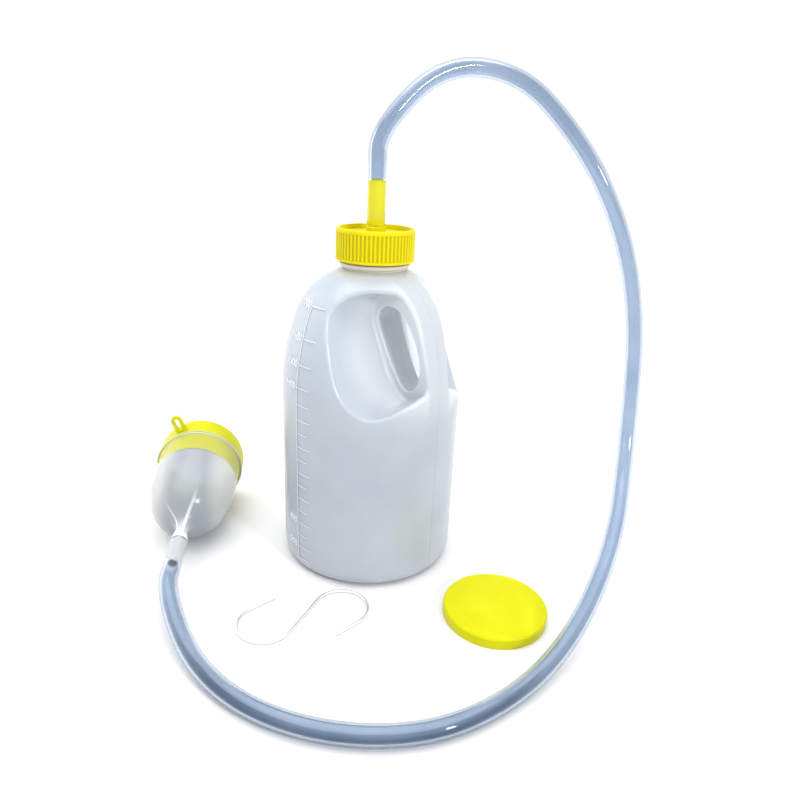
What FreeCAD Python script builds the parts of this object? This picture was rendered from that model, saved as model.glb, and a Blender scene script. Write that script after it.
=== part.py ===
import FreeCAD, Part
import math
import os

# Urine bottle with a long receiver tube.  Millimetres, +Z up.
# The origin is the centre of the bottle's base, on the surface it stands on.
# The grip points along +X, and the handle hole runs along Y.

V = FreeCAD.Vector
Z_AXIS = V(0, 0, 1)
ORIGIN = V(0, 0, 0)

# ---- driving dimensions ----------------------------------------------------

RUNNING_GAP = 0.05          # radial play of a part that turns in another

# bottle body
BODY_R = 60.0
WALL = 1.5
BASE_ROUND = 9.0
BASE_RING_R = 46.0          # inner edge of the ring that the bottle stands on
PUSH_UP = 4.0               # rise of the base's middle
STRAIGHT_TOP = 122.0        # height where the side begins to lean in
SIDE_ARC_R = 150.0
SIDE_ARC_DEG = 20.7
SHOULDER_R = 43.5
SHOULDER_END_DEG = 62.0

# bottle neck
NECK_R = 20.5
FINISH_R = 21.3
NECK_BORE_R = 19.3
COLLAR_R = 23.0
COLLAR_LOW = 204.6
COLLAR_TOP = 207.0
NECK_TOP = 221.2

# screw thread, one start
PITCH = 4.0
THREAD_BASE = 2.2
THREAD_CREST = 1.0
THREAD_ROOT_SINK = 0.4
NECK_THREAD_R = 22.7
NECK_THREAD_LOW = 210.5
NECK_THREAD_TURNS = 1.5
CAP_THREAD_R = 21.9
CAP_THREAD_TURNS = 1.25

# handle: a scoop in the front and one in the back, with a finger hole between them
GRIP_HALF_WIDTH = 10.5      # half the grip's thickness at its middle
GRIP_LEAN_DEG = 3.0         # the grip thickens towards its top
SCOOP_MIDDLE = V(38, 0, 157)
SCOOP_REACH = 64.0
SCOOP_FLARE_X = 1.15        # how much wider and taller a scoop is at its reach than at its floor
SCOOP_FLARE_Z = 1.2
SCOOP_FLOOR_ROUND = 3.0
RIM_ROUND = 2.2
# outline of a scoop's floor as x and z, leaning towards the neck and open beyond the grip
SCOOP_OUTLINE = [
    (28.5, 191.5), (39.0, 190.5), (49.0, 187.5), (60.0, 181.0), (66.0, 170.5), (67.0, 158.5),
    (64.0, 147.5), (59.5, 139.5), (54.5, 132.5), (49.0, 127.5), (42.5, 125.0), (35.5, 127.3),
    (28.8, 133.8), (23.3, 143.0), (18.6, 155.0), (13.4, 168.0), (11.2, 178.5), (16.0, 188.0),
]
HOLE_OUTLINE = [
    (30.5, 182.8), (38.0, 177.5), (44.0, 169.0), (48.2, 159.0), (50.0, 149.5),
    (49.2, 141.5), (45.5, 134.8), (39.8, 131.8), (34.6, 134.4), (29.8, 140.8),
    (25.2, 148.5), (20.8, 157.5), (16.6, 167.0), (14.6, 176.4), (21.0, 182.8),
]
HOLE_DEPTH = 20.0
HOLE_ROUND = 0.8
HANDLE_ZONE = (5.0, 118.0, 201.0)   # least x, and the lowest and highest z of the handle
SHARP_DEG = 12.0            # faces that meet at less than this count as smooth

# raised scale, 100 mL a step
SCALE_RELIEF = 0.4
SCALE_LINE = 0.7
SCALE_X = -7.0
LONG_TICK = 12.0
SHORT_TICK = 9.5
FIRST_LEVEL = 9.8
LEVEL_STEP = 9.3
EVEN_LEVELS = 12
UPPER_LEVELS = [122.4, 133.6, 147.8, 163.6, 182.8]

# screw cap
CAP_LOW = 208.0
CAP_TOP = 228.0
CAP_BORE_R = 23.4
CAP_RIB_ROOT_R = 24.5
CAP_RIB_TIP_R = 25.15
CAP_RIBS = 60
CAP_LIP_R = 25.3
CAP_LIP_HEIGHT = 1.6
CAP_BAND_R = 25.0
CAP_BAND_HEIGHT = 2.4
CAP_PLATE_LOW = 223.0
CAP_PLATE_TOP = 225.0
CAP_RECESS_R = 22.6
BOSS_R = 6.2
BOSS_TOP = 228.8
SPIGOT_TOP = 257.0
SPIGOT_BORE_R = 2.6

# seal ring in the cap
SEAL_R = 23.2
SEAL_HOLE_R = 15.0
SEAL_LOW = 221.5

# clear tube
TUBE_OD = 11.5
TUBE_ID = 7.9
TUBE_LOW_Z = 5.8            # height of the tube's middle where it lies on the floor
TUBE_ROUTE = [
    (0, 0, 229),
    (0, 0, 285),
    (15, 39, 324),
    (44, 81, 322),
    (74, 102, 289),
    (95, 115, 256),
    (112, 126, 215),
    (124, 129, 169),
    (132, 122, 123),
    (142, 105, 80),
    (155, 77, 51),
    (165, 40, 32),
    (170, 0, 15),
    (169, -44, TUBE_LOW_Z),
    (158, -92, TUBE_LOW_Z),
    (135, -125, TUBE_LOW_Z),
    (101, -150, TUBE_LOW_Z),
    (60, -163, TUBE_LOW_Z),
    (16, -161, 7),
    (-26, -148, 19.5),
    (-59, -119.5, 24),
]

# receiver, measured along its axis from the tube's end towards the mouth
NOZZLE_LENGTH = 22.0
NOZZLE_BORE_R = 2.6
NOZZLE_STEPS = [(0.4, 5.7), (3.2, 5.1), (6.2, 4.6)]
STEP_LENGTH = 2.2
STEP_WAIST_R = 4.2
CUP_WALL = 1.2
CUP_OUTLINE = [(4.2, 11.0), (6.6, 17.0), (15.0, 23.5), (22.3, 31.0), (26.8, 43.0), (29.5, 56.0)]
CUP_CONE_LOW = (30.7, 68.0)
CUP_MOUTH = (32.3, 93.5)
CUP_BEAD = 0.6             # half the width of each low ridge round the mouth
CUP_BEADS_BELOW = (1.0, 3.2)
MOUTH_AT = 112.0

# mouth ring
RING_R = 32.5
RING_LIP_R = 31.1
RING_LIP = 5.0
RING_WALL = 1.6
RING_SKIRT = 22.0
EYE_ANGLE_DEG = 20.0
EYE_REACH = 46.5
EYE_HALF_WIDTH = 4.0
EYE_THICK = 2.6
EYE_SLOT_HALF = 1.8

# lid, lying beside the bottle
LID_X = 116.7
LID_Y = -2.2
LID_R = 32.8
LID_HEIGHT = 6.8
LID_PLATE = 2.0
LID_BORE_R = 31.2
LID_EDGE = 0.8

# wire hook, lying beside the bottle
WIRE_R = 0.9
BIGHT_R = 17.3
LOWER_BIGHT = V(23, -111, WIRE_R)
UPPER_BIGHT = V(45, -69, WIRE_R)
HOOK_STRAIGHT = 18.0
HOOK_WRAP_DEG = 205.0       # how far each bight turns


# ---- helpers ---------------------------------------------------------------

def flat(points):
    """Points (radius, height) as vectors in the XZ plane."""
    return [V(r, 0, z) for r, z in points]


def turned(edges):
    """A solid of revolution about Z from edges that start and end on the axis or close up."""
    return Part.Face(Part.Wire(edges)).revolve(ORIGIN, Z_AXIS, 360)


def turned_polygon(points):
    """A solid of revolution from a closed outline of (radius, height) corners."""
    corners = flat(points)
    return turned(Part.makePolygon(corners + corners[:1]).Edges)


def line(a, b):
    return Part.LineSegment(a, b).toShape()


def arc_about(centre_r, centre_z, radius, start_deg, end_deg):
    """An arc in the XZ plane, its angles measured from +X towards +Z."""
    points = []
    for angle in (start_deg, (start_deg + end_deg) / 2, end_deg):
        turn = math.radians(angle)
        points.append(V(centre_r + radius * math.cos(turn), 0, centre_z + radius * math.sin(turn)))
    return Part.Arc(*points).toShape()


def ends(edge):
    return edge.valueAt(edge.FirstParameter), edge.valueAt(edge.LastParameter)


def ring(outer_r, inner_r, low, high):
    outer = Part.makeCylinder(outer_r, high - low, V(0, 0, low))
    return outer.cut(Part.makeCylinder(inner_r, high - low, V(0, 0, low)))


def write(shape, node):
    """Check a piece and write it as its own file."""
    if not shape.isValid():
        raise ValueError(node + " is not a valid solid")
    box = shape.optimalBoundingBox()
    text = "{:16s} solids {} volume {:9.0f} z {:.2f} to {:.2f}"
    print(text.format(node, len(shape.Solids), shape.Volume, box.ZMin, box.ZMax))
    shape.exportStep("parts/" + node + ".step")


# ---- bottle ----------------------------------------------------------------

def body_outline(inset):
    """The body's side from the middle of the base to the neck, moved in by inset."""
    base_mid = V(0, 0, PUSH_UP + inset)
    base_rise = V(BASE_RING_R / 2, 0, PUSH_UP * 0.7 + inset)
    ring_edge = V(BASE_RING_R, 0, inset)
    corner_r = BODY_R - BASE_ROUND
    corner = arc_about(corner_r, BASE_ROUND, BASE_ROUND - inset, -90, 0)
    side_centre = BODY_R - SIDE_ARC_R
    side = arc_about(side_centre, STRAIGHT_TOP, SIDE_ARC_R - inset, 0, SIDE_ARC_DEG)
    lean = math.radians(SIDE_ARC_DEG)
    shift = SIDE_ARC_R - SHOULDER_R
    shoulder_centre_r = side_centre + shift * math.cos(lean)
    shoulder_centre_z = STRAIGHT_TOP + shift * math.sin(lean)
    shoulder = arc_about(shoulder_centre_r, shoulder_centre_z, SHOULDER_R - inset,
                         SIDE_ARC_DEG, SHOULDER_END_DEG)
    last = ends(shoulder)[1]
    slope = math.radians(SHOULDER_END_DEG)
    neck_r = NECK_R if inset == 0 else NECK_BORE_R
    neck_foot = V(neck_r, 0, last.z + (last.x - neck_r) / math.tan(slope))
    edges = [
        Part.Arc(base_mid, base_rise, ring_edge).toShape(),
        line(ring_edge, ends(corner)[0]),
        corner,
        line(ends(corner)[1], ends(side)[0]),
        side,
        shoulder,
        line(last, neck_foot),
    ]
    return edges, base_mid


def closed_turn(edges, base_mid, tail):
    """Close an outline over its tail and back down the axis, and turn it."""
    start = ends(edges[-1])[1]
    for point in tail + [V(0, 0, tail[-1].z), base_mid]:
        edges.append(line(start, point))
        start = point
    return turned(edges)


def body_outside():
    edges, base_mid = body_outline(0)
    tail = flat([
        (NECK_R, COLLAR_LOW), (COLLAR_R - 0.6, COLLAR_LOW), (COLLAR_R, COLLAR_LOW + 0.8),
        (COLLAR_R, COLLAR_TOP - 0.4), (COLLAR_R - 0.4, COLLAR_TOP), (FINISH_R, COLLAR_TOP),
        (FINISH_R, NECK_TOP - 0.5), (FINISH_R - 0.5, NECK_TOP),
    ])
    return closed_turn(edges, base_mid, tail)


def body_inside():
    edges, base_mid = body_outline(WALL)
    return closed_turn(edges, base_mid, flat([(NECK_BORE_R, NECK_TOP + 2)]))


def closed_curve(points):
    curve = Part.BSplineCurve()
    curve.interpolate(points, PeriodicFlag=True)
    return curve


def outline_wire(outline, y, grow):
    """A smooth closed outline in the plane at y, grown by a wall thickness."""
    points = [V(x, y, z) for x, z in outline]
    curve = closed_curve(points)
    grown = []
    for point in points:
        along = curve.tangent(curve.parameter(point))[0]
        grown.append(point + along.cross(V(0, 1, 0)) * grow)
    return Part.Wire([closed_curve(grown).toShape()])


def scoops(grow):
    """Both hand scoops; grow makes them larger by a wall thickness."""
    wide = [(SCOOP_MIDDLE.x + (x - SCOOP_MIDDLE.x) * SCOOP_FLARE_X,
             SCOOP_MIDDLE.z + (z - SCOOP_MIDDLE.z) * SCOOP_FLARE_Z) for x, z in SCOOP_OUTLINE]
    floor_y = grow - GRIP_HALF_WIDTH
    floor = outline_wire(SCOOP_OUTLINE, floor_y, grow)
    floor.rotate(SCOOP_MIDDLE + V(0, floor_y, 0), V(1, 0, 0), GRIP_LEAN_DEG)
    front = Part.makeLoft([outline_wire(wide, -SCOOP_REACH, grow), floor], True, True)
    deepest = max(front.Faces, key=lambda face: face.CenterOfMass.y)
    front = front.makeFillet(SCOOP_FLOOR_ROUND + grow, deepest.Edges)
    return front, front.mirror(ORIGIN, V(0, 1, 0))


def finger_hole(grow):
    """The hole between the scoops; grow makes it larger by a wall thickness."""
    wire = outline_wire(HOLE_OUTLINE, -HOLE_DEPTH, grow)
    return Part.Face(wire).extrude(V(0, 2 * HOLE_DEPTH, 0))


def hand_cut(shape, grow):
    for cutter in scoops(grow) + (finger_hole(grow),):
        shape = shape.cut(cutter)
    return shape


def handle_edges(shape, of_hole):
    """The sharp edges of the handle: those of the finger hole, or the scoops' rims."""
    least_x, low, high = HANDLE_ZONE
    chosen = []
    for edge in shape.Edges:
        box = edge.BoundBox
        if box.XMax < least_x or box.ZMin < low or box.ZMax > high:
            continue
        faces = shape.ancestorsOfType(edge, Part.Face)
        if len(faces) < 2:
            continue
        middle = edge.valueAt((edge.FirstParameter + edge.LastParameter) / 2)
        normals = [face.normalAt(*face.Surface.parameter(middle)) for face in faces]
        if math.degrees(normals[0].getAngle(normals[1])) < SHARP_DEG:
            continue
        on_hole = any(isinstance(face.Surface, Part.SurfaceOfExtrusion) for face in faces)
        if on_hole == of_hole:
            chosen.append(edge)
    return chosen


def rounded_handle(shape):
    shape = shape.makeFillet(RIM_ROUND, handle_edges(shape, False))
    return shape.makeFillet(HOLE_ROUND, handle_edges(shape, True))


def thread(crest_r, root_r, low, turns):
    """A single helical ridge between a crest radius and a root radius."""
    sink = root_r + math.copysign(THREAD_ROOT_SINK, root_r - crest_r)
    helix = Part.makeHelix(PITCH, PITCH * turns, root_r)
    half_base = THREAD_BASE / 2
    half_crest = THREAD_CREST / 2
    corners = flat([(sink, -half_base), (crest_r, -half_crest), (crest_r, half_crest),
                    (sink, half_base)])
    section = Part.makePolygon(corners + corners[:1])
    ridge = Part.Wire(helix.Edges).makePipeShell([section], True, True)
    ridge.translate(V(0, 0, low))
    return ridge


def scale_levels():
    """Height and length of each mark, from the lowest up."""
    heights = [FIRST_LEVEL + LEVEL_STEP * step for step in range(EVEN_LEVELS)] + UPPER_LEVELS
    levels = []
    for index, height in enumerate(heights):
        long_mark = index % 2 == 1 or height in UPPER_LEVELS
        levels.append((height, LONG_TICK if long_mark else SHORT_TICK))
    return levels


def scale_marks():
    """The raised scale: one upright line and a mark for each level."""
    edges, base_mid = body_outline(-SCALE_RELIEF)
    skin = closed_turn(edges, base_mid, flat([(NECK_R, NECK_TOP)]))
    edges, base_mid = body_outline(WALL / 2)
    skin = skin.cut(closed_turn(edges, base_mid, flat([(NECK_BORE_R, NECK_TOP)])))
    levels = scale_levels()
    lowest = levels[0][0]
    highest = levels[-1][0]
    half = SCALE_LINE / 2
    blocks = [Part.makeBox(SCALE_LINE, BODY_R + 5, highest - lowest + SCALE_LINE,
                           V(SCALE_X - half, -BODY_R - 5, lowest - half))]
    for height, length in levels:
        blocks.append(Part.makeBox(length, BODY_R + 5, SCALE_LINE,
                                   V(SCALE_X, -BODY_R - 5, height - half)))
    return blocks[0].multiFuse(blocks[1:]).common(skin)


def bottle():
    outside = rounded_handle(hand_cut(body_outside(), 0))
    shell = outside.cut(hand_cut(body_inside(), WALL))
    ridge = thread(NECK_THREAD_R, FINISH_R, NECK_THREAD_LOW, NECK_THREAD_TURNS)
    return shell.fuse(ridge).fuse(scale_marks())


# ---- cap -------------------------------------------------------------------

def ribbed_prism(low, high):
    """The cap's fluted grip as one solid."""
    step = 2 * math.pi / CAP_RIBS
    edges = []
    for rib in range(CAP_RIBS):
        points = []
        for share, radius in ((0.0, CAP_RIB_ROOT_R), (0.2, CAP_RIB_TIP_R), (0.5, CAP_RIB_TIP_R),
                              (0.7, CAP_RIB_ROOT_R), (1.0, CAP_RIB_ROOT_R)):
            angle = (rib + share) * step
            points.append(V(radius * math.cos(angle), radius * math.sin(angle), low))
        edges += [line(a, b) for a, b in zip(points, points[1:])]
    return Part.Face(Part.Wire(edges)).extrude(V(0, 0, high - low))


def screw_cap():
    lip_top = CAP_LOW + CAP_LIP_HEIGHT
    band_low = CAP_TOP - CAP_BAND_HEIGHT
    body = ribbed_prism(lip_top, band_low)
    body = body.fuse(turned_polygon([
        (0, CAP_LOW), (CAP_LIP_R - 0.5, CAP_LOW), (CAP_LIP_R, CAP_LOW + 0.5),
        (CAP_LIP_R, lip_top - 0.2), (CAP_RIB_ROOT_R, lip_top + 0.3), (0, lip_top + 0.3),
    ]))
    body = body.fuse(turned_polygon([
        (0, band_low - 0.4), (CAP_RIB_ROOT_R, band_low - 0.4), (CAP_BAND_R, band_low),
        (CAP_BAND_R, CAP_TOP - 0.8), (CAP_BAND_R - 0.8, CAP_TOP), (0, CAP_TOP),
    ]))
    body = body.cut(Part.makeCylinder(CAP_BORE_R, CAP_PLATE_LOW - CAP_LOW, V(0, 0, CAP_LOW)))
    body = body.cut(Part.makeCylinder(CAP_RECESS_R, CAP_TOP, V(0, 0, CAP_PLATE_TOP)))
    spigot_r = TUBE_ID / 2 - RUNNING_GAP
    spigot = turned_polygon([
        (SPIGOT_BORE_R, CAP_PLATE_LOW), (BOSS_R, CAP_PLATE_LOW), (BOSS_R, BOSS_TOP - 0.5),
        (BOSS_R - 0.5, BOSS_TOP), (spigot_r, BOSS_TOP), (spigot_r, SPIGOT_TOP - 1),
        (spigot_r - 0.6, SPIGOT_TOP), (SPIGOT_BORE_R, SPIGOT_TOP),
    ])
    body = body.cut(Part.makeCylinder(SPIGOT_BORE_R, CAP_TOP, V(0, 0, CAP_LOW))).fuse(spigot)
    ridge_low = NECK_THREAD_LOW + PITCH / 2
    return body.fuse(thread(CAP_THREAD_R, CAP_BORE_R, ridge_low, CAP_THREAD_TURNS))


def cap_seal():
    return ring(SEAL_R, SEAL_HOLE_R, SEAL_LOW, CAP_PLATE_LOW)


# ---- tube ------------------------------------------------------------------

def rounded_path(points):
    """Straight runs joined by tangent arcs, as one wire, with the arcs' radii."""
    edges = []
    radii = []
    start = points[0]
    for before, corner, after in zip(points, points[1:], points[2:]):
        back = before - corner
        ahead = after - corner
        trim = 0.45 * min(back.Length, ahead.Length)
        half_turn = (math.pi - back.getAngle(ahead)) / 2
        radius = trim / math.tan(half_turn)
        radii.append(radius)
        back.normalize()
        ahead.normalize()
        enter = corner + back * trim
        leave = corner + ahead * trim
        inward = back + ahead
        inward.normalize()
        middle = corner + inward * (radius / math.cos(half_turn) - radius)
        edges.append(line(start, enter))
        edges.append(Part.Arc(enter, middle, leave).toShape())
        start = leave
    edges.append(line(start, points[-1]))
    return Part.Wire(edges), radii


def swept(path, points, radius):
    """A round bar along a path."""
    section = Part.Wire([Part.makeCircle(radius, points[0], points[1] - points[0])])
    return path.makePipeShell([section], True, True)


def drain_tube():
    points = [V(*point) for point in TUBE_ROUTE]
    path, radii = rounded_path(points)
    tube = swept(path, points, TUBE_OD / 2).cut(swept(path, points, TUBE_ID / 2))
    print("tube radii", [round(radius) for radius in radii])
    print("tube runs", [round((b - a).Length) for a, b in zip(points, points[1:])])
    area = math.pi * (TUBE_OD ** 2 - TUBE_ID ** 2) / 4
    print("tube length {:.1f}, volume over section times length {:.5f}".format(
        path.Length, tube.Volume / (area * path.Length)))
    return tube


# ---- receiver --------------------------------------------------------------

def on_tube_end(shape):
    """Move a piece from its own upright axis onto the tube's last run."""
    end = V(*TUBE_ROUTE[-1])
    axis = end - V(*TUBE_ROUTE[-2])
    heading = math.degrees(math.atan2(axis.y, axis.x))
    tilt = math.degrees(math.asin(axis.z / axis.Length))
    shape.rotate(ORIGIN, V(0, 1, 0), 90 - tilt)
    shape.rotate(ORIGIN, Z_AXIS, heading)
    shape.translate(end)
    return shape


def cup_edges(inset):
    """The bowl's side from the spout to the mouth, moved in by inset."""
    curve = Part.BSplineCurve()
    points = [V(r - inset, 0, z + inset * 0.5) for r, z in CUP_OUTLINE]
    joint = V(CUP_CONE_LOW[0] - inset, 0, CUP_CONE_LOW[1])
    mouth = V(CUP_MOUTH[0] - inset, 0, CUP_MOUTH[1])
    curve.interpolate(points + [joint])
    return curve.toShape(), line(joint, mouth)


def receiver_cup():
    nozzle_r = TUBE_ID / 2 - RUNNING_GAP
    outer_curve, outer_cone = cup_edges(0)
    inner_curve, inner_cone = cup_edges(CUP_WALL)
    outer_foot = ends(outer_curve)[0]
    inner_foot = ends(inner_curve)[0]
    corners = [(nozzle_r, 0.1), (nozzle_r, 1 - NOZZLE_LENGTH), (nozzle_r - 0.6, -NOZZLE_LENGTH),
               (NOZZLE_BORE_R, -NOZZLE_LENGTH)]
    stem = [outer_foot, V(STEP_WAIST_R, 0, 0.1)] + flat(corners) + [inner_foot]
    edges = [line(a, b) for a, b in zip(stem, stem[1:])]
    edges += [inner_curve, inner_cone, line(ends(inner_cone)[1], ends(outer_cone)[1])]
    edges += [outer_cone, outer_curve]
    cup = turned(Part.__sortEdges__(edges))
    for low, radius in NOZZLE_STEPS:
        cup = cup.fuse(turned_polygon([
            (NOZZLE_BORE_R + 0.8, low), (radius - 0.3, low), (radius, low + 0.3),
            (radius - 0.2, low + STEP_LENGTH), (NOZZLE_BORE_R + 0.8, low + STEP_LENGTH),
        ]))
    mouth_r, mouth_z = CUP_MOUTH
    for below in CUP_BEADS_BELOW:
        middle = mouth_z - below
        inside = mouth_r - CUP_WALL / 2
        cup = cup.fuse(turned_polygon([
            (inside, middle - CUP_BEAD), (mouth_r - 0.1, middle - CUP_BEAD),
            (mouth_r + CUP_BEAD / 2, middle - CUP_BEAD / 2),
            (mouth_r + CUP_BEAD / 2, middle + CUP_BEAD / 2),
            (mouth_r - 0.1, middle + CUP_BEAD), (inside, middle + CUP_BEAD),
        ]))
    return on_tube_end(cup)


def mouth_ring():
    mouth_r, mouth_z = CUP_MOUTH
    taper = (mouth_r - CUP_CONE_LOW[0]) / (mouth_z - CUP_CONE_LOW[1])
    skirt_top_r = mouth_r - CUP_WALL - RUNNING_GAP
    skirt_low_r = skirt_top_r - taper * RING_SKIRT
    shoulder = mouth_z + 0.05
    top = MOUTH_AT
    body = turned_polygon([
        (skirt_low_r, mouth_z - RING_SKIRT), (skirt_top_r, shoulder), (RING_R - 0.3, shoulder),
        (RING_R, shoulder + 0.3), (RING_R, top - RING_LIP - 0.4), (RING_R - 0.4, top - RING_LIP),
        (RING_LIP_R, top - RING_LIP), (RING_LIP_R, top - 0.6), (RING_LIP_R - 0.6, top),
        (RING_LIP_R - RING_WALL, top), (skirt_top_r - RING_WALL, shoulder),
        (skirt_low_r - RING_WALL, mouth_z - RING_SKIRT),
    ])
    bar_length = EYE_REACH - EYE_HALF_WIDTH - RING_LIP_R
    eye = Part.makeBox(bar_length, 2 * EYE_HALF_WIDTH, EYE_THICK, V(RING_LIP_R, -EYE_HALF_WIDTH, 0))
    eye = eye.fuse(Part.makeCylinder(EYE_HALF_WIDTH, EYE_THICK, V(EYE_REACH - EYE_HALF_WIDTH, 0, 0)))
    slot_far = EYE_REACH - EYE_HALF_WIDTH
    slot_near = RING_R + 2 + EYE_SLOT_HALF
    slot = Part.makeBox(slot_far - slot_near, 2 * EYE_SLOT_HALF, EYE_THICK,
                        V(slot_near, -EYE_SLOT_HALF, 0))
    for middle in (slot_near, slot_far):
        slot = slot.fuse(Part.makeCylinder(EYE_SLOT_HALF, EYE_THICK, V(middle, 0, 0)))
    eye = eye.cut(slot)
    eye.rotate(ORIGIN, Z_AXIS, 180 - EYE_ANGLE_DEG)
    eye.translate(V(0, 0, shoulder + 0.4))
    return on_tube_end(body.fuse(eye).removeSplitter())


# ---- loose pieces ----------------------------------------------------------

def receiver_lid():
    lid = turned_polygon([
        (0, LID_HEIGHT - LID_PLATE), (LID_BORE_R, LID_HEIGHT - LID_PLATE), (LID_BORE_R, 0),
        (LID_R, 0), (LID_R, LID_HEIGHT - LID_EDGE), (LID_R - LID_EDGE, LID_HEIGHT),
        (0, LID_HEIGHT),
    ])
    lid.translate(V(LID_X, LID_Y, 0))
    return lid


def hanging_hook():
    """An S of round wire: two bights joined by their crossing tangent."""
    across = UPPER_BIGHT - LOWER_BIGHT
    heading = math.atan2(across.y, across.x)
    swing = math.acos(2 * BIGHT_R / across.Length)

    def rim(centre, angle):
        return centre + V(math.cos(angle), math.sin(angle), 0) * BIGHT_R

    low_leave = heading - swing
    high_enter = low_leave + math.pi
    low_tip = low_leave - math.radians(HOOK_WRAP_DEG)
    high_tip = high_enter - math.radians(HOOK_WRAP_DEG)
    low_end = rim(LOWER_BIGHT, low_tip)
    high_end = rim(UPPER_BIGHT, high_tip)
    low_away = V(-math.sin(low_tip), math.cos(low_tip), 0) * -HOOK_STRAIGHT
    high_away = V(-math.sin(high_tip), math.cos(high_tip), 0) * -HOOK_STRAIGHT
    edges = [
        line(low_end + low_away, low_end),
        Part.Arc(low_end, rim(LOWER_BIGHT, (low_tip + low_leave) / 2),
                 rim(LOWER_BIGHT, low_leave)).toShape(),
        line(rim(LOWER_BIGHT, low_leave), rim(UPPER_BIGHT, high_enter)),
        Part.Arc(rim(UPPER_BIGHT, high_enter), rim(UPPER_BIGHT, (high_enter + high_tip) / 2),
                 high_end).toShape(),
        line(high_end, high_end + high_away),
    ]
    path = Part.Wire(edges)
    return swept(path, [low_end + low_away, low_end], WIRE_R)


# ---- all pieces ------------------------------------------------------------

def main():
    os.makedirs("parts", exist_ok=True)
    write(bottle(), "bottle")
    write(screw_cap(), "screw_cap")
    write(cap_seal(), "cap_seal")
    write(drain_tube(), "drain_tube")
    write(receiver_cup(), "receiver_cup")
    write(mouth_ring(), "mouth_ring")
    write(receiver_lid(), "receiver_lid")
    write(hanging_hook(), "hanging_hook")


main()
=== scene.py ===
import functools
import math

import bmesh
import bpy
from mathutils import Matrix, Vector


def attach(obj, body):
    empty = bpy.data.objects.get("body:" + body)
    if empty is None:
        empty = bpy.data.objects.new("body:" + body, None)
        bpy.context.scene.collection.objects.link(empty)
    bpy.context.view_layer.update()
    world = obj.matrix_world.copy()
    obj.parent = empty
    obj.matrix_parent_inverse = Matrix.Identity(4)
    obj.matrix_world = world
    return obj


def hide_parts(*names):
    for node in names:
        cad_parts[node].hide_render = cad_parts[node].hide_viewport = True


# Urine bottle with a clear drain tube and a receiver.  Metres, +Z up.
# The origin is the centre of the bottle's base; the grip points along +X.

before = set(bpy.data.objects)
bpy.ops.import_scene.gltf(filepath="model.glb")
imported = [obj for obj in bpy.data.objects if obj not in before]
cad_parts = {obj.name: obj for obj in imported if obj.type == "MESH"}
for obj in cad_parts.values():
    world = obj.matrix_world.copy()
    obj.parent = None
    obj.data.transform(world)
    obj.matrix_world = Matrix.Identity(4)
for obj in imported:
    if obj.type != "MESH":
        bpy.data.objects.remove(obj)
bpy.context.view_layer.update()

MM = 0.001

# ---- camera ------------------------------------------------------------------

CAMERA_PLACE = (0.2928, -0.3032, 0.2738)
CAMERA_TURN_DEG = (("Z", 41.28), ("X", 69.08), ("Z", 2.57))
CAMERA_LENS = 29.37


def add_camera():
    data = bpy.data.cameras.new("camera")
    data.lens = CAMERA_LENS
    data.sensor_width = 36.0
    data.clip_start = 0.01
    data.clip_end = 100.0
    camera = bpy.data.objects.new("camera", data)
    bpy.context.scene.collection.objects.link(camera)
    turn = Matrix.Identity(4)
    for axis, degrees in CAMERA_TURN_DEG:
        turn = turn @ Matrix.Rotation(math.radians(degrees), 4, axis)
    camera.matrix_world = Matrix.Translation(CAMERA_PLACE) @ turn
    bpy.context.scene.camera = camera


# ---- small helpers -----------------------------------------------------------

def add_object(name, data):
    piece = bpy.data.objects.new(name, data)
    bpy.context.scene.collection.objects.link(piece)
    return piece


def mesh_from(name, points, faces, smooth=True):
    mesh = bpy.data.meshes.new(name)
    mesh.from_pydata(points, [], faces)
    mesh.validate()
    mesh.polygons.foreach_set("use_smooth", [smooth] * len(mesh.polygons))
    mesh.update()
    return mesh


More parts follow.
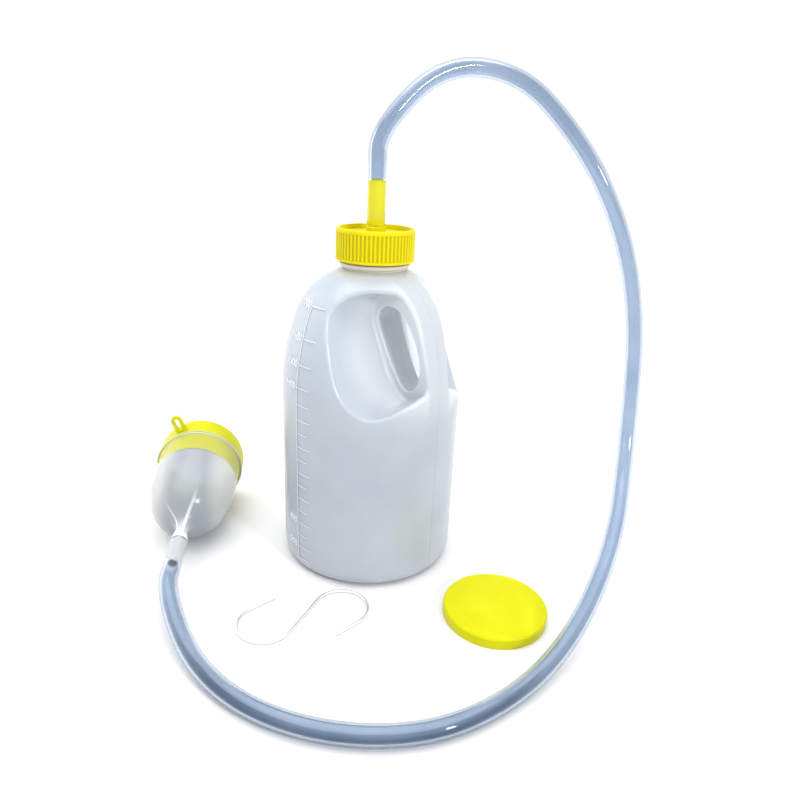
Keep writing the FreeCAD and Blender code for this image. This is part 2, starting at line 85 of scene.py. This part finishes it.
class Nodes:
    """A short way to write a material's node tree."""

    def __init__(self, name):
        self.material = bpy.data.materials.new(name)
        self.material.use_nodes = True
        self.tree = self.material.node_tree
        self.tree.nodes.clear()

    def add(self, kind, **settings):
        node = self.tree.nodes.new("ShaderNode" + kind)
        for key, value in settings.items():
            setattr(node, key, value)
        return node

    def join(self, source, target):
        self.tree.links.new(source, target)

    def set(self, socket, value):
        """Link a socket's source, or set a plain value."""
        if isinstance(value, bpy.types.NodeSocket):
            self.join(value, socket)
        elif value is not None:
            socket.default_value = value

    def position(self):
        return self.add("TexCoord").outputs["Object"]

    def scaled(self, vector, scale):
        node = self.add("Mapping")
        self.join(vector, node.inputs["Vector"])
        node.inputs["Scale"].default_value = scale
        return node.outputs["Vector"]

    def noise(self, vector, scale, detail):
        node = self.add("TexNoise")
        self.set(node.inputs["Vector"], vector)
        node.inputs["Scale"].default_value = scale
        node.inputs["Detail"].default_value = detail
        return node.outputs["Fac"]

    def math(self, operation, a, b=None):
        node = self.add("Math", operation=operation)
        self.set(node.inputs[0], a)
        self.set(node.inputs[1], b)
        return node.outputs[0]

    def span(self, value, low, high, to_low=0.0, to_high=1.0):
        """One value at the low end and another at the high end, with a smooth step between."""
        node = self.add("MapRange", interpolation_type="SMOOTHSTEP")
        self.set(node.inputs["Value"], value)
        node.inputs["From Min"].default_value = low
        node.inputs["From Max"].default_value = high
        node.inputs["To Min"].default_value = to_low
        node.inputs["To Max"].default_value = to_high
        return node.outputs["Result"]

    def fade(self, value, low, high):
        """One up to the low value, falling to nought at the high one."""
        return self.span(value, low, high, 1.0, 0.0)

    def absolute(self, value):
        return self.math("ABSOLUTE", value)

    def times(self, *values):
        """The product of two or more values."""
        return functools.reduce(lambda a, b: self.math("MULTIPLY", a, b), values)

    def largest(self, *values):
        """The largest of two or more values."""
        return functools.reduce(lambda a, b: self.math("MAXIMUM", a, b), values)

    def mix(self, share, a, b):
        node = self.add("Mix", data_type="RGBA")
        self.set(node.inputs["Factor"], share)
        self.set(node.inputs["A"], a)
        self.set(node.inputs["B"], b)
        return node.outputs["Result"]

    def mottle(self, cloud, a, b):
        """Two tones in soft blotches."""
        return self.mix(self.span(cloud, 0.3, 0.7), a, b)

    def patchy(self, cloud, low, high):
        """A number that wanders between two limits in soft blotches."""
        return self.span(cloud, 0.2, 0.8, low, high)

    def bump(self, height, distance, strength, normal=None):
        node = self.add("Bump")
        node.inputs["Strength"].default_value = strength
        node.inputs["Distance"].default_value = distance
        self.join(height, node.inputs["Height"])
        self.set(node.inputs["Normal"], normal)
        return node.outputs["Normal"]

    def axes(self, vector):
        node = self.add("SeparateXYZ")
        self.join(vector, node.inputs[0])
        return tuple(node.outputs)

    def along(self, vector, origin, direction):
        """How far a place lies from an origin in a direction."""
        node = self.add("VectorMath", operation="DOT_PRODUCT")
        self.join(vector, node.inputs[0])
        node.inputs[1].default_value = direction
        return self.math("SUBTRACT", node.outputs["Value"], Vector(origin).dot(Vector(direction)))

    def near(self, vector, centre, inner, outer):
        """One within a distance of a centre, falling to nought at the outer distance."""
        node = self.add("VectorMath", operation="DISTANCE")
        self.join(vector, node.inputs[0])
        node.inputs[1].default_value = centre
        return self.fade(node.outputs["Value"], inner, outer)

    def surface(self, **inputs):
        shader = self.add("BsdfPrincipled")
        for key, value in inputs.items():
            self.set(shader.inputs[key.replace("_", " ")], value)
        output = self.add("OutputMaterial")
        self.join(shader.outputs[0], output.inputs["Surface"])
        return self.material


def colour(r, g, b):
    return (r, g, b, 1.0)


# ---- materials ---------------------------------------------------------------

SPOUT_END = Vector((-59.0, -119.5, 24.0)) * MM  # where the tube ends on the nozzle
RECEIVER_AXIS = Vector((-33.0, 28.5, 4.5)).normalized()  # from the nozzle to the mouth
CUP_SIDE = RECEIVER_AXIS.cross(Vector((0.0, 0.0, 1.0))).normalized()
CUP_UP = CUP_SIDE.cross(RECEIVER_AXIS)

# Each pair is the start and the end of a soft change, in metres.
NECK_WARM = (198.0 * MM, 205.0 * MM)     # height: the thick plastic of the neck
SIDE_PAINTED_LIGHT = (100.0 * MM, 170.0 * MM)     # height: the side turns paler upwards, painted light from above
GRIP_MIDDLE = Vector((34.0, 0.0, 157.0)) * MM
GRIP_PAINTED_LIGHT = (32.0 * MM, 52.0 * MM)       # distance from the grip's middle: painted light, whiter round the grip
GRIP_HOLE_SHADE = (8.5 * MM, 10.5 * MM)        # half of the grip's thickness: painted shade on the walls inside its hole
GRIP_BACK_PAINTED_LIGHT = (10.5 * MM, 15.0 * MM)       # behind the grip: painted light, paler on the grip's back wall
SEAM = (0.1 * MM, 0.6 * MM)              # half of the parting line's width
SEAM_FROM = (20.0 * MM, 25.0 * MM)       # no parting line nearer than this in X

SPOUT_MILKY = (0.0 * MM, 20.0 * MM)      # reach: the thick spout lets less through
SPOUT_WHITE = (2.0 * MM, 20.0 * MM)      # reach: and is whiter
CUP_LEFT_PAINTED_LIGHT = (-24.0 * MM, -8.0 * MM)       # distance from the receiver's middle plane: painted light, paler at both sides
CUP_RIGHT_PAINTED_LIGHT = (10.0 * MM, 24.0 * MM)
SKIRT_FROM = (68.0 * MM, 72.0 * MM)      # reach: the yellow ring's skirt is behind
CUP_BEADS = (90.3 * MM, 92.5 * MM)       # reach of the two ridges round the mouth
BEAD = (0.3 * MM, 0.7 * MM)              # half of a ridge's width
CREASE_HIGHLIGHT_FROM = 12.0 * MM                  # reach where the creases and their painted highlights begin to fade
CREASE_HIGHLIGHT_OUT = (0.0 * MM, 3.0 * MM)        # a crease runs on one side of the axis only
CUP_CREASE_HIGHLIGHTS = [                          # turn in degrees, reach of the end, half width
    (67.0, 36.0 * MM, 1.6 * MM),
    (131.0, 30.0 * MM, 0.8 * MM),
]

RIB_TIP = (24.55 * MM, 24.95 * MM)       # radius
CAP_BORE = (23.2 * MM, 23.5 * MM)        # radius
CAP_RIM = (225.6 * MM, 226.0 * MM)       # height
SPIGOT_SIDE = (4.5 * MM, 5.0 * MM)       # radius
SPIGOT_FOOT = (226.0 * MM, 229.0 * MM)   # height

SPIGOT_MIDDLE = Vector((0.0, 0.0, 241.0)) * MM
SPIGOT_CLEAR = (15.0 * MM, 17.5 * MM)    # distance: the tube is stretched clear
NOZZLE_MIDDLE = Vector((-51.0, -126.0, 23.0)) * MM
NOZZLE_CLEAR = (12.0 * MM, 18.0 * MM)

EVEN = (1.0, 1.0, 1.0)                   # every colour scatters alike
PLASTIC_IOR = 1.5


def milky_body():
    """Satin translucent plastic, warmer at the thick neck, with painted light and shade: paler
    upwards, whiter round the grip and behind it, and shaded inside the grip's hole.
    """
    n = Nodes("milky_body")
    place = n.position()
    x, y, z = n.axes(place)
    cloud = n.noise(place, 18.0, 3.0)
    # painted light: the lower side darker and the upper side paler, as if lit from above
    low = n.mottle(cloud, colour(0.36, 0.395, 0.45), colour(0.40, 0.435, 0.485))
    high = n.mottle(cloud, colour(0.40, 0.45, 0.51), colour(0.45, 0.50, 0.55))
    tone = n.mix(n.span(z, *SIDE_PAINTED_LIGHT), low, high)
    # painted light: the grip's back wall is paler, as if lit through the hole
    grip = n.mix(n.span(y, *GRIP_BACK_PAINTED_LIGHT), colour(0.55, 0.58, 0.62), colour(0.72, 0.77, 0.83))
    # painted shade: the walls inside the grip's hole are darker
    grip = n.mix(n.fade(n.absolute(y), *GRIP_HOLE_SHADE), grip, colour(0.46, 0.49, 0.52))
    # painted light: whiter round the grip's middle
    tone = n.mix(n.near(place, GRIP_MIDDLE, *GRIP_PAINTED_LIGHT), tone, grip)
    tone = n.mix(n.span(z, *NECK_WARM), tone, colour(0.56, 0.53, 0.44))
    grain = n.noise(place, 900.0, 2.0)
    wave = n.noise(n.scaled(place, (1.0, 1.0, 0.25)), 60.0, 2.0)
    seam = n.times(n.fade(n.absolute(y), *SEAM), n.span(n.absolute(x), *SEAM_FROM))
    normal = n.bump(grain, 0.04 * MM, 0.2, n.bump(wave, 0.4 * MM, 0.03))
    return n.surface(
        Base_Color=tone, Roughness=n.patchy(wave, 0.21, 0.26),
        Normal=n.bump(seam, 0.3 * MM, 0.6, normal), Subsurface_Weight=0.45,
        Subsurface_Radius=EVEN, Subsurface_Scale=4.0 * MM, IOR=PLASTIC_IOR)


def milky_marks():
    """The scale's ridges and numbers catch the light more than the wall."""
    n = Nodes("milky_marks")
    place = n.position()
    cloud = n.noise(place, 200.0, 2.0)
    tone = n.mix(cloud, colour(0.66, 0.70, 0.75), colour(0.76, 0.79, 0.83))
    return n.surface(
        Base_Color=tone, Roughness=0.3, Normal=n.bump(cloud, 0.03 * MM, 0.4),
        Subsurface_Weight=0.3, Subsurface_Radius=EVEN, Subsurface_Scale=2.0 * MM,
        IOR=PLASTIC_IOR)


def crease_highlight_mask(n, place, reach):
    """Thin creases that run up the cup from its spout, painted as white highlight streaks with a
    slight bump.
    """
    masks = []
    for degrees, end, width in CUP_CREASE_HIGHLIGHTS:
        turn = math.radians(degrees)
        out = CUP_UP * math.sin(turn) + CUP_SIDE * math.cos(turn)
        beside = n.absolute(n.along(place, SPOUT_END, RECEIVER_AXIS.cross(out)))
        outward = n.along(place, SPOUT_END, out)
        masks.append(n.times(
            n.fade(beside, width / 4, width), n.span(outward, *CREASE_HIGHLIGHT_OUT),
            n.fade(reach, CREASE_HIGHLIGHT_FROM, end)))
    return n.largest(*masks)


def bead_highlight_mask(n, reach):
    """The two ridges round the cup's mouth, which carry a pale painted highlight."""
    off = (n.absolute(n.math("SUBTRACT", reach, bead)) for bead in CUP_BEADS)
    return n.largest(*(n.fade(distance, *BEAD) for distance in off))


def milky_cup():
    """Thinner, clearer plastic of the receiver's bowl, clearest over the ring's skirt, with
    painted light: paler sides, and painted highlights on its creases and ridges.
    """
    n = Nodes("milky_cup")
    place = n.position()
    cloud = n.noise(place, 30.0, 3.0)
    grain = n.noise(place, 700.0, 2.0)
    reach = n.along(place, SPOUT_END, RECEIVER_AXIS)
    aside = n.along(place, SPOUT_END, CUP_SIDE)
    crease_highlights = crease_highlight_mask(n, place, reach)
    bead_highlights = bead_highlight_mask(n, reach)
    tone = n.mottle(cloud, colour(0.30, 0.325, 0.365), colour(0.34, 0.36, 0.40))
    # painted light: the cup's left and right sides are paler than its middle
    tone = n.mix(n.fade(aside, *CUP_LEFT_PAINTED_LIGHT), tone, colour(0.60, 0.62, 0.63))
    tone = n.mix(n.span(aside, *CUP_RIGHT_PAINTED_LIGHT), tone, colour(0.56, 0.58, 0.57))
    tone = n.mix(n.span(reach, *SPOUT_WHITE), colour(0.80, 0.83, 0.86), tone)
    # painted highlight: the creases are near white and nearly opaque
    tone = n.mix(crease_highlights, tone, colour(0.86, 0.88, 0.91))
    # painted highlight on the two ridges, which are also made less clear
    tone = n.mix(bead_highlights, tone, colour(0.84, 0.84, 0.66))
    cover = n.largest(
        n.span(reach, *SKIRT_FROM, 0.72, 0.10), n.span(reach, *SPOUT_MILKY, 0.97, 0.0),
        n.times(bead_highlights, 0.65), n.times(crease_highlights, 0.95))
    return n.surface(
        Base_Color=tone, Roughness=n.patchy(cloud, 0.19, 0.25), Alpha=cover,
        Normal=n.bump(crease_highlights, 0.4 * MM, 0.7, n.bump(grain, 0.04 * MM, 0.4)),
        Subsurface_Weight=0.3, Subsurface_Radius=EVEN, Subsurface_Scale=3.0 * MM,
        IOR=PLASTIC_IOR)


def cap_paint(n, place, paint):
    """Painted shade between the cap's ribs, and painted light on its spigot under the tube."""
    x, y, z = n.axes(place)
    radius = n.math("SQRT", n.math("ADD", n.times(x, x), n.times(y, y)))
    groove_shade = n.times(n.fade(radius, *RIB_TIP), n.span(radius, *CAP_BORE), n.fade(z, *CAP_RIM))
    spigot_light = n.times(n.fade(radius, *SPIGOT_SIDE), n.span(z, *SPIGOT_FOOT))
    # painted shade: darker at the roots of the ribs
    paint = n.mix(groove_shade, paint, colour(0.47, 0.41, 0.002))
    # painted light: the spigot is brighter, making up for the tube's shade over it
    return n.mix(spigot_light, paint, colour(1.0, 0.93, 0.004))


def yellow_plastic(name, tone, deep, cap=False):
    """Bright moulded yellow with a fine grain."""
    n = Nodes(name)
    place = n.position()
    cloud = n.noise(place, 45.0, 3.0)
    paint = n.mottle(cloud, tone, deep)
    if cap:
        paint = cap_paint(n, place, paint)
    grain = n.noise(place, 1200.0, 2.0)
    return n.surface(
        Base_Color=paint, Roughness=n.patchy(cloud, 0.29, 0.40),
        Normal=n.bump(grain, 0.03 * MM, 0.5), Specular_IOR_Level=0.1,
        Subsurface_Weight=0.12, Subsurface_Radius=(1.0, 0.9, 0.02),
        Subsurface_Scale=2.0 * MM, IOR=PLASTIC_IOR)


def clear_tube():
    """Soft vinyl with a blue-grey tint, clear where it is stretched over spigot and nozzle."""
    n = Nodes("clear_tube")
    place = n.position()
    cloud = n.noise(place, 25.0, 3.0)
    tint = n.mottle(cloud, colour(0.50, 0.58, 0.69), colour(0.58, 0.65, 0.75))
    on_spigot = n.near(place, SPIGOT_MIDDLE, *SPIGOT_CLEAR)
    on_nozzle = n.near(place, NOZZLE_MIDDLE, *NOZZLE_CLEAR)
    tint = n.mix(on_spigot, tint, colour(0.97, 0.98, 0.99))
    tint = n.mix(on_nozzle, tint, colour(0.95, 0.96, 0.98))
    grain = n.noise(place, 260.0, 2.0)
    return n.surface(
        Base_Color=tint, Roughness=0.06, Normal=n.bump(grain, 0.06 * MM, 0.12),
        Specular_Tint=colour(0.62, 0.69, 0.80), Transmission_Weight=1.0, IOR=PLASTIC_IOR)


def bright_wire():
    n = Nodes("bright_wire")
    place = n.position()
    cloud = n.noise(place, 400.0, 3.0)
    tone = n.mottle(cloud, colour(0.88, 0.87, 0.84), colour(0.94, 0.94, 0.92))
    return n.surface(Base_Color=tone, Metallic=1.0, Roughness=n.patchy(cloud, 0.14, 0.26),
                     Normal=n.bump(cloud, 0.03 * MM, 0.4))


def pale_seal():
    n = Nodes("pale_seal")
    place = n.position()
    cloud = n.noise(place, 300.0, 3.0)
    tone = n.mix(cloud, colour(0.60, 0.60, 0.56), colour(0.70, 0.70, 0.66))
    return n.surface(Base_Color=tone, Roughness=0.6, Normal=n.bump(cloud, 0.05 * MM, 0.5))


def dress(piece, material):
    """Give a piece one material in every slot."""
    if not piece.data.materials:
        piece.data.materials.append(material)
    for index in range(len(piece.material_slots)):
        piece.material_slots[index].material = material


# ---- the drain tube ----------------------------------------------------------

TUBE_OD = 11.5 * MM
TUBE_ID = 7.9 * MM
TUBE_LOW = 5.8                 # height of its middle line on the floor, in mm
TUBE_ROUTE = [                 # in mm, from the cap's spigot to the receiver's nozzle
    (0, 0, 229),
    (0, 0, 262),
    (0, 0, 285),
    (15, 39, 324),
    (44, 81, 322),
    (74, 102, 289),
    (95, 115, 256),
    (112, 126, 215),
    (124, 129, 169),
    (132, 122, 123),
    (142, 105, 80),
    (155, 77, 51),
    (165, 40, 32),
    (170, 0, 15),
    (169, -44, TUBE_LOW),
    (158, -92, TUBE_LOW),
    (135, -125, TUBE_LOW),
    (101, -150, TUBE_LOW),
    (60, -163, TUBE_LOW),
    (16, -161, 7),
    (-26, -148, 19.5),
    (-44, -132.5, 21.95),
    (-59, -119.5, 24),
]
SPIGOT_END = 28.5 * MM         # how far the cap's spigot reaches into the tube
NOZZLE_END = 22.5 * MM         # how far the receiver's nozzle reaches into it
HELD_BORE_R = 3.84 * MM        # the bore where it is stretched on to either
TUBE_SIDES = 40
SLANT = 0.12                   # its end on the cap's spigot is cut a little askew
SLANT_TURN = 2.2               # and this way round, in radians


def route_line(name, route):
    """The points of a smooth NURBS line through a route, as Blender draws it."""
    curve = bpy.data.curves.new(name, "CURVE")
    curve.dimensions = "3D"
    curve.resolution_u = 16
    spline = curve.splines.new("NURBS")
    spline.points.add(len(route) - 1)
    for point, (x, y, z) in zip(spline.points, route):
        point.co = (x * MM, y * MM, z * MM, 1.0)
    spline.order_u = 3
    spline.use_endpoint_u = True
    holder = bpy.data.objects.new(name, curve)
    mesh = bpy.data.meshes.new_from_object(holder)
    points = [vertex.co.copy() for vertex in mesh.vertices]
    bpy.data.objects.remove(holder)
    bpy.data.curves.remove(curve)
    bpy.data.meshes.remove(mesh)
    return points


def carried_frames(points):
    """A forward and a sideways direction at each point, carried along without twist."""
    frames = []
    side = Vector((1.0, 0.0, 0.0))
    for index in range(len(points)):
        before = points[max(index - 1, 0)]
        after = points[min(index + 1, len(points) - 1)]
        forward = (after - before).normalized()
        side = (side - forward * side.dot(forward)).normalized()
        frames.append((forward, side, forward.cross(side)))
    return frames


def run_lengths(points):
    lengths = [0.0]
    for a, b in zip(points, points[1:]):
        lengths.append(lengths[-1] + (b - a).length)
    return lengths


def tube_mesh(points):
    """A hollow tube: an outer skin, an inner skin and a rim at each end."""
    frames = carried_frames(points)
    lengths = run_lengths(points)
    total = lengths[-1]
    vertices = []
    for inner in (False, True):
        for point, (forward, side, up), length in zip(points, frames, lengths):
            radius = TUBE_OD / 2
            if inner:
                held = length < SPIGOT_END or total - length < NOZZLE_END
                radius = HELD_BORE_R if held else TUBE_ID / 2
            for step in range(TUBE_SIDES):
                turn = 2 * math.pi * step / TUBE_SIDES
                out = side * math.cos(turn) + up * math.sin(turn)
                slant = forward * (SLANT * radius * math.cos(turn + SLANT_TURN))
                fade = max(0.0, 1.0 - length / TUBE_OD)
                vertices.append(point + out * radius + slant * fade)
    count = len(points)
    faces = []

    def at(layer, ring, step):
        return (layer * count + ring) * TUBE_SIDES + step % TUBE_SIDES

    for ring in range(count - 1):
        for step in range(TUBE_SIDES):
            faces.append((at(0, ring, step), at(0, ring, step + 1),
                          at(0, ring + 1, step + 1), at(0, ring + 1, step)))
            faces.append((at(1, ring, step + 1), at(1, ring, step),
                          at(1, ring + 1, step), at(1, ring + 1, step + 1)))
    last = count - 1
    for step in range(TUBE_SIDES):
        faces.append((at(0, 0, step + 1), at(0, 0, step), at(1, 0, step), at(1, 0, step + 1)))
        faces.append((at(0, last, step), at(0, last, step + 1),
                      at(1, last, step + 1), at(1, last, step)))
    return mesh_from("drain_tube_soft", vertices, faces)


def add_tube(material):
    points = route_line("tube_route", TUBE_ROUTE)
    tube = add_object("drain_tube_soft", tube_mesh(points))
    dress(tube, material)
    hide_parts("drain_tube")
    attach(tube, "tube")


# ---- raised scale and its numbers ----------------------------------------------

# In mm and degrees.
BODY_R = 60.0
STRAIGHT_TOP = 122.0
SIDE_ARC_R = 150.0
SIDE_ARC_DEG = 20.7
SHOULDER_R = 43.5
SHOULDER_END_DEG = 62.0
SCALE_X = -7.0
SCALE_LINE = 0.8
EVEN_LEVELS = [9.8 + 9.3 * step for step in range(12)]
UPPER_LEVELS = [122.4, 133.6, 147.8, 163.6, 182.8]
SHORT_MARK, LONG_MARK = 9.5, 12.0
SCALE_PROUD = 0.46
SCALE_SUNK = -0.3              # the ridges' and numbers' feet, inside the wall
SEEN_WIDTH = 0.95              # the share of the radius that the scale may take up
NUMBERED = {1: "200", 3: "400", 13: "1400", 14: "1500", 15: "1600", 16: "1700"}
NUMBER_HEIGHT = 4.6
FONT_SIZE = 1.38 * NUMBER_HEIGHT
NUMBER_GAP = 1.6


def body_radius(z):
    """The bottle's outer radius at a height, and the lean of its side, in mm and radians."""
    if z <= STRAIGHT_TOP:
        return BODY_R, 0.0
    lean = math.radians(SIDE_ARC_DEG)
    centre_r = BODY_R - SIDE_ARC_R
    if z <= STRAIGHT_TOP + SIDE_ARC_R * math.sin(lean):
        rise = z - STRAIGHT_TOP
        return centre_r + math.sqrt(SIDE_ARC_R ** 2 - rise ** 2), math.asin(rise / SIDE_ARC_R)
    shift = SIDE_ARC_R - SHOULDER_R
    centre_r += shift * math.cos(lean)
    rise = min(z - STRAIGHT_TOP - shift * math.sin(lean),
               SHOULDER_R * math.sin(math.radians(SHOULDER_END_DEG)))
    return centre_r + math.sqrt(SHOULDER_R ** 2 - rise ** 2), math.asin(rise / SHOULDER_R)


def on_front(x, z, proud):
    """A point proud of the bottle's -Y side, seen straight on at x and z, all in mm."""
    radius, lean = body_radius(z)
    edge = radius * SEEN_WIDTH
    x = max(min(x, edge), -edge)
    turn = math.asin(x / radius)
    flat = radius + proud * math.cos(lean)
    return Vector((flat * math.sin(turn), -flat * math.cos(turn),
                   z + proud * math.sin(lean))) * MM


def number_mesh(text, right, middle):
    """A raised number on the bottle's side, ending at right and centred at middle."""
    font = bpy.data.curves.new("number", "FONT")
    font.body = text
    font.size = FONT_SIZE
    font.extrude = 0.5
    font.align_x = "RIGHT"
    font.align_y = "CENTER"
    font.resolution_u = 4
    holder = bpy.data.objects.new("number", font)
    mesh = bpy.data.meshes.new_from_object(holder)
    for vertex in mesh.vertices:
        proud = SCALE_PROUD if vertex.co.z > 0 else SCALE_SUNK
        vertex.co = on_front(right + vertex.co.x, middle + vertex.co.y, proud)
    bpy.data.objects.remove(holder)
    bpy.data.curves.remove(font)
    return mesh


def strip_points(path, half_width, across):
    """The four corners of a ridge at each point of a path given as (x, z)."""
    corners = ((-1, SCALE_SUNK), (-0.6, SCALE_PROUD), (0.6, SCALE_PROUD), (1, SCALE_SUNK))
    rows = []
    for x, z in path:
        row = []
        for side, proud in corners:
            dx, dz = across[0] * side * half_width, across[1] * side * half_width
            row.append(on_front(x + dx, z + dz, proud))
        rows.append(row)
    return rows


def ridge_mesh(mesh, rows):
    """Add a closed ridge through rows of four corners to a bmesh."""
    made = [[mesh.verts.new(point) for point in row] for row in rows]
    for a, b in zip(made, made[1:]):
        for k in range(4):
            mesh.faces.new((a[k], a[(k + 1) % 4], b[(k + 1) % 4], b[k]))
    mesh.faces.new(made[0][::-1])
    mesh.faces.new(made[-1])


def add_scale(material):
    work = bmesh.new()
    levels = EVEN_LEVELS + UPPER_LEVELS
    steps = 60
    low, high = levels[0] - SCALE_LINE / 2, levels[-1] + SCALE_LINE / 2
    upright = [(SCALE_X, low + (high - low) * k / steps) for k in range(steps + 1)]
    ridge_mesh(work, strip_points(upright, SCALE_LINE / 2, (1, 0)))
    for index, level in enumerate(levels):
        length = LONG_MARK if index % 2 == 1 or index >= len(EVEN_LEVELS) else SHORT_MARK
        marks = [(SCALE_X + length * k / 6, level) for k in range(7)]
        ridge_mesh(work, strip_points(marks, SCALE_LINE / 2, (0, 1)))
    for index, text in NUMBERED.items():
        number = number_mesh(text, SCALE_X - NUMBER_GAP, levels[index])
        work.from_mesh(number)
        bpy.data.meshes.remove(number)
    bmesh.ops.recalc_face_normals(work, faces=work.faces)
    mesh = bpy.data.meshes.new("scale_and_numbers")
    work.to_mesh(mesh)
    work.free()
    piece = add_object("scale_and_numbers", mesh)
    dress(piece, material)
    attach(piece, "bottle")


# ---- floor, light and air --------------------------------------------------------

FLOOR_HALF = 12.0
FLOOR_DROP = 0.2 * MM          # just under the base, so the two don't share a plane


def add_floor():
    half = FLOOR_HALF
    points = [(-half, -half, 0), (half, -half, 0), (half, half, 0), (-half, half, 0)]
    floor = add_object("floor", mesh_from("floor", points, [(0, 1, 2, 3)], False))
    floor.location.z = -FLOOR_DROP
    n = Nodes("pale_floor")
    cloud = n.noise(n.position(), 3.0, 2.0)
    tone = n.mix(cloud, colour(0.72, 0.72, 0.72), colour(0.75, 0.75, 0.75))
    dress(floor, n.surface(Base_Color=tone, Roughness=0.7))


def add_lamp(name, kind, place, aim, power):
    data = bpy.data.lights.new(name, kind)
    data.energy = power
    lamp = bpy.data.objects.new(name, data)
    bpy.context.scene.collection.objects.link(lamp)
    turn = (Vector(aim) - Vector(place)).to_track_quat("-Z", "Y")
    lamp.matrix_world = Matrix.Translation(place) @ turn.to_matrix().to_4x4()
    return data


def add_light():
    world = bpy.data.worlds.new("studio")
    world.use_nodes = True
    background = world.node_tree.nodes["Background"]
    background.inputs["Color"].default_value = colour(1.0, 1.0, 1.0)
    background.inputs["Strength"].default_value = 1.08
    bpy.context.scene.world = world
    bpy.context.scene.view_settings.view_transform = "Standard"
    key = add_lamp("key", "AREA", (1.3, -0.18, 0.72), (0, 0, 0.1), 6.5)
    key.shape = "DISK"
    key.size = 0.12
    fill = add_lamp("fill", "AREA", (-1.2, -0.35, 0.45), (0, 0, 0.1), 2.0)
    fill.shape = "DISK"
    fill.size = 1.0
    overhead = add_lamp("overhead", "SUN", (-0.15, -0.1, 2.0), (0, 0, 0), 2.1)
    overhead.angle = math.radians(70.0)


# ---- the whole thing -------------------------------------------------------------

def main():
    add_camera()
    add_tube(clear_tube())
    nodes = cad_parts
    dress(nodes["bottle"], milky_body())
    dress(nodes["receiver_cup"], milky_cup())
    dress(nodes["screw_cap"], yellow_plastic(
        "cap_yellow", colour(0.66, 0.57, 0.003), colour(0.61, 0.52, 0.002), cap=True))
    lemon = yellow_plastic("lemon_yellow", colour(0.56, 0.55, 0.002), colour(0.51, 0.50, 0.001))
    dress(nodes["mouth_ring"], lemon)
    dress(nodes["receiver_lid"], lemon)
    dress(nodes["hanging_hook"], bright_wire())
    dress(nodes["cap_seal"], pale_seal())
    add_scale(milky_marks())
    add_floor()
    add_light()


main()
